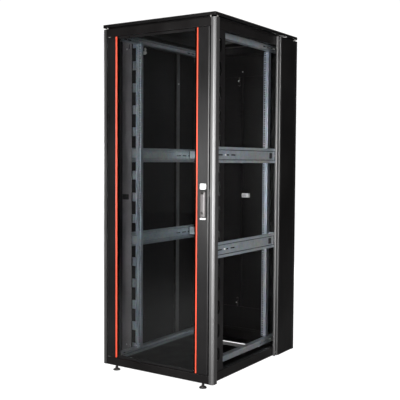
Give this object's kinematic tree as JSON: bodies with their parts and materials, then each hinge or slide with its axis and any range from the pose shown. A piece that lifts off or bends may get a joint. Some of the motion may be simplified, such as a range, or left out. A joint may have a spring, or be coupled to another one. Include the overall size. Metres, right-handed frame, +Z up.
{
  "type": "network server rack cabinet",
  "caption": "Tall black steel rack cabinet with a glass front door, swing handle, slotted 19-inch rails, side beams, split rear doors and levelling feet; right side panel off.",
  "frame": {"origin": "centre of the cabinet's plan, on the floor under the feet", "axes": "+Z up, +X to the right seen from the front, front door at -Y"},
  "size_m": [0.8, 1.042, 2.085],
  "materials": {
    "frame_black": "satin powder coat",
    "panel_black": "satin powder coat",
    "plate_black": "smooth satin powder coat",
    "door_black": "satin powder coat",
    "zinc": "zinc plated, blue passivated",
    "tinted_glass": "clear tempered glass",
    "red_trim": "satin red",
    "black_rubber": "matt",
    "black_plastic": "matt",
    "light_plastic": "satin light grey",
    "grey_lever": "silver grey powder coat",
    "steel_bright": "bright zinc",
    "dark_steel": "black zinc",
    "clip_plastic": "grey nylon"
  },
  "bodies": {
    "cabinet": {"beam_clips": "plate_black", "bottom_channels": "zinc", "bottom_side_rails": "frame_black", "cable_plates": "plate_black", "floor_panel": "panel_black", "frame_fasteners": "steel_bright", "front_header": "frame_black", "front_post_left": "frame_black", "front_post_right": "frame_black", "front_rail_left": "zinc", "front_rail_right": "zinc", "front_sill": "frame_black", "hinge_pins": "steel_bright", "latch_keeper": "steel_bright", "left_side_panel": "panel_black", "middle_posts": "frame_black", "plate_insert": "black_plastic", "post_web_left": "plate_black", "post_web_right": "plate_black", "rail_brackets": "zinc", "rear_bottom_panel": "panel_black", "rear_header": "frame_black", "rear_posts": "frame_black", "rear_rail_left": "zinc", "rear_rail_right": "zinc", "rear_side_panels": "panel_black", "rear_sill": "frame_black", "rear_top_panel": "panel_black", "roof_entry_cover": "panel_black", "roof_panel": "panel_black", "roof_riser": "panel_black", "roof_standoffs": "clip_plastic", "side_beam_lower_left": "zinc", "side_beam_lower_right": "zinc", "side_beam_upper_left": "zinc", "side_beam_upper_right": "zinc", "top_channels": "zinc", "top_side_rails": "frame_black"},
    "front_door": {"door_stile_left": "door_black", "door_stile_right": "door_black", "door_edge_channels": "door_black", "door_glass": "tinted_glass", "door_red_strips": "red_trim", "door_glazing_strips": "black_rubber", "handle_plate": "light_plastic"},
    "handle_shaft": {"handle_rotor": "steel_bright", "latch_tongue": "steel_bright"},
    "lever": {"handle_lever": "grey_lever"},
    "key": {"key_barrel": "steel_bright"},
    "rear_leaf_left": {"rear_door_left": "panel_black"},
    "rear_leaf_right": {"rear_door_right": "panel_black", "rear_latch_housing": "light_plastic"},
    "rear_knob": {"rear_latch_knob": "steel_bright"},
    "bolt_upper": {"slide_bolt_upper": "dark_steel"},
    "bolt_lower": {"slide_bolt_lower": "dark_steel"},
    "panel_lock": {"side_panel_lock": "steel_bright"},
    "foot_fl": {"foot_front_left": "dark_steel"},
    "foot_fr": {"foot_front_right": "dark_steel"},
    "foot_rl": {"foot_rear_left": "dark_steel"},
    "foot_rr": {"foot_rear_right": "dark_steel"}
  },
  "joints": [
    {"name": "front_door_swing", "type": "hinge", "parent": "cabinet", "child": "front_door", "pos_m": [-0.354, -0.49, 1.046], "axis": [0, 0, -1], "range_deg": [0, 115]},
    {"name": "handle_turn", "type": "hinge", "parent": "front_door", "child": "handle_shaft", "pos_m": [0.3315, -0.49, 1.102], "axis": [0, 1, 0], "range_deg": [0, 90]},
    {"name": "lever_tilt", "type": "hinge", "parent": "handle_shaft", "child": "lever", "pos_m": [0.3315, -0.513, 1.102], "axis": [-1, 0, 0], "range_deg": [0, 30]},
    {"name": "key_turn", "type": "hinge", "parent": "lever", "child": "key", "pos_m": [0.3315, -0.514, 0.991], "axis": [0, 1, 0], "range_deg": [0, 90]},
    {"name": "rear_left_swing", "type": "hinge", "parent": "cabinet", "child": "rear_leaf_left", "pos_m": [-0.355, 0.495, 1.06], "axis": [0, 0, 1], "range_deg": [0, 115]},
    {"name": "rear_right_swing", "type": "hinge", "parent": "cabinet", "child": "rear_leaf_right", "pos_m": [0.355, 0.495, 1.06], "axis": [0, 0, -1], "range_deg": [0, 115]},
    {"name": "rear_knob_turn", "type": "hinge", "parent": "rear_leaf_right", "child": "rear_knob", "pos_m": [0.028, 0.49, 1.043], "axis": [0, 1, 0], "range_deg": [0, 90]},
    {"name": "upper_bolt_slide", "type": "slide", "parent": "rear_leaf_left", "child": "bolt_upper", "axis": [0, 0, 1], "range_m": [0, 0.014]},
    {"name": "lower_bolt_slide", "type": "slide", "parent": "rear_leaf_left", "child": "bolt_lower", "axis": [0, 0, -1], "range_m": [0, 0.014]},
    {"name": "panel_lock_turn", "type": "hinge", "parent": "cabinet", "child": "panel_lock", "pos_m": [-0.39, -0.112, 1.968], "axis": [1, 0, 0], "range_deg": [0, 90]},
    {"name": "foot_front_left_level", "type": "slide", "parent": "cabinet", "child": "foot_fl", "axis": [0, 0, -1], "range_m": [0, 0.015]},
    {"name": "foot_front_right_level", "type": "slide", "parent": "cabinet", "child": "foot_fr", "axis": [0, 0, -1], "range_m": [0, 0.015]},
    {"name": "foot_rear_left_level", "type": "slide", "parent": "cabinet", "child": "foot_rl", "axis": [0, 0, -1], "range_m": [0, 0.015]},
    {"name": "foot_rear_right_level", "type": "slide", "parent": "cabinet", "child": "foot_rr", "axis": [0, 0, -1], "range_m": [0, 0.015]}
  ]
}
